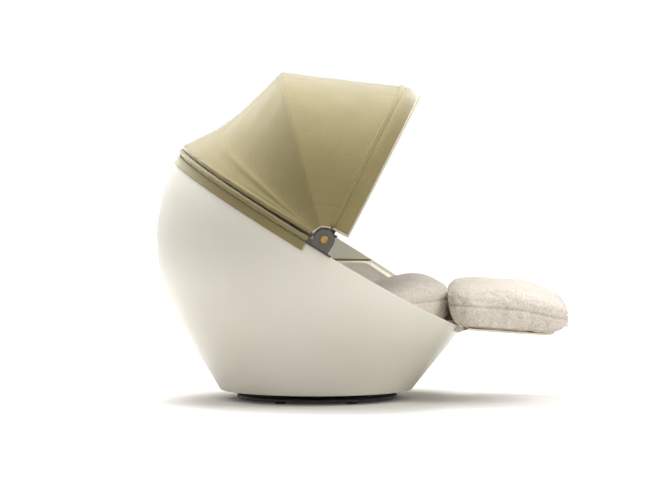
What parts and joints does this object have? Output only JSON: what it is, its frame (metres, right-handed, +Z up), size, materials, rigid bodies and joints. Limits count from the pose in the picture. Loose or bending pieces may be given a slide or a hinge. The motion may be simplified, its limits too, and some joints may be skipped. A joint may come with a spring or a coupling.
{
  "type": "hooded beach chair",
  "caption": "Ball-shaped lounge shell on a swivel plinth with a folding cloth hood on bows, loose seat and back cushions and a cushioned footrest that tilts down",
  "frame": {"origin": "on the floor at the middle of the plinth, where the swivel axis meets the floor", "axes": "+X to the front where the footrest is, +Y to the sitter's left, +Z up"},
  "size_m": [1.8754, 1.5296, 1.491],
  "materials": {
    "rubber": "matt black rubber",
    "plinth_black": "black powder coat",
    "race_steel": "bright machined steel",
    "screw_steel": "zinc-plated steel",
    "shell_white": "off-white moulded resin, glossy",
    "board_wood": "birch plywood",
    "board_cream": "cream powder-coated sheet",
    "frame_black": "black powder coat",
    "liner_cloth": "beige padded cloth",
    "piping_olive": "olive piping",
    "boucle": "cream boucle",
    "bracket_black": "black powder coat",
    "disc_grey": "grey enamel",
    "cap_brass": "aged brass",
    "bow_metal": "dark powder-coated steel flat",
    "hood_cloth": "olive woven cloth",
    "binding_beige": "beige binding tape",
    "ring_metal": "plated steel"
  },
  "bodies": {
    "plinth": {"rubber_feet": "rubber", "plinth": "plinth_black", "lower_race": "race_steel", "bearing_balls": "race_steel", "swivel_pin": "race_steel", "pin_collar": "race_steel"},
    "shell": {"shell": "shell_white", "upper_race": "race_steel", "race_bolts": "screw_steel", "ledge_ring": "board_wood", "seat_posts": "frame_black", "seat_board": "board_wood", "board_screws": "screw_steel", "liner": "liner_cloth", "liner_piping": "piping_olive", "seat_cushion_left": "boucle", "seat_cushion_right": "boucle", "back_cushion_left": "boucle", "back_cushion_right": "boucle", "bracket_left": "bracket_black", "bracket_right": "bracket_black", "bracket_screws": "shell_white", "pivot_bolts": "screw_steel", "pivot_nuts": "screw_steel", "pivot_washers": "screw_steel", "disc_plates": "disc_grey", "bolt_caps": "cap_brass", "rear_skirt": "hood_cloth", "hinge_brackets": "shell_white", "hinge_screws": "shell_white", "hinge_pins": "screw_steel"},
    "lower_bow": {"lower_rear_bow": "bow_metal", "lower_roll": "hood_cloth", "lower_tuck": "hood_cloth"},
    "upper_bow": {"upper_rear_bow": "bow_metal", "upper_roll": "hood_cloth", "upper_tuck": "hood_cloth"},
    "middle_bow": {"middle_bow": "bow_metal", "middle_sleeve": "hood_cloth", "rear_cloth": "hood_cloth"},
    "front_bow": {"front_bow": "bow_metal", "front_cloth": "hood_cloth", "front_hem": "hood_cloth", "front_binding": "binding_beige"},
    "footrest": {"footrest_board": "board_cream", "hinge_straps": "bracket_black", "strap_screws": "screw_steel", "foot_cushion": "boucle", "ring_tab": "ring_metal"},
    "pull_ring": {"pull_ring": "ring_metal"}
  },
  "joints": [
    {"name": "shell_swivel", "type": "hinge", "parent": "plinth", "child": "shell", "pos_m": [0, 0, 0.045], "axis": [0, 0, 1], "continuous": true},
    {"name": "hood_reach", "type": "hinge", "parent": "shell", "child": "lower_bow", "pos_m": [0.04833, 0, 0.77214], "axis": [0, 1, 0], "range_deg": [0, 16], "deforming": ["lower_roll", "lower_tuck"]},
    {"name": "rear_bow_follow", "type": "hinge", "parent": "lower_bow", "child": "upper_bow", "pos_m": [0.04833, 0, 0.77214], "axis": [0, 1, 0], "range_deg": [0, 16], "deforming": ["upper_roll", "upper_tuck"]},
    {"name": "hood_fold", "type": "hinge", "parent": "upper_bow", "child": "middle_bow", "pos_m": [0.04833, 0, 0.77214], "axis": [0, 1, 0], "range_deg": [-40, 0], "deforming": ["middle_sleeve", "rear_cloth"]},
    {"name": "front_bow_follow", "type": "hinge", "parent": "middle_bow", "child": "front_bow", "pos_m": [0.04833, 0, 0.77214], "axis": [0, 1, 0], "range_deg": [-40, 0], "deforming": ["front_cloth"]},
    {"name": "footrest_tilt", "type": "hinge", "parent": "shell", "child": "footrest", "pos_m": [0.678, 0, 0.33602], "axis": [0, 1, 0], "range_deg": [0, 36]},
    {"name": "ring_swing", "type": "hinge", "parent": "footrest", "child": "pull_ring", "pos_m": [1.14142, 0, 0.3387], "axis": [0, 1, 0], "range_deg": [-70, 0]}
  ],
  "couplings": [
    {"joint": "rear_bow_follow", "follows": "hood_reach", "ratio": 1},
    {"joint": "front_bow_follow", "follows": "hood_fold", "ratio": 1}
  ]
}
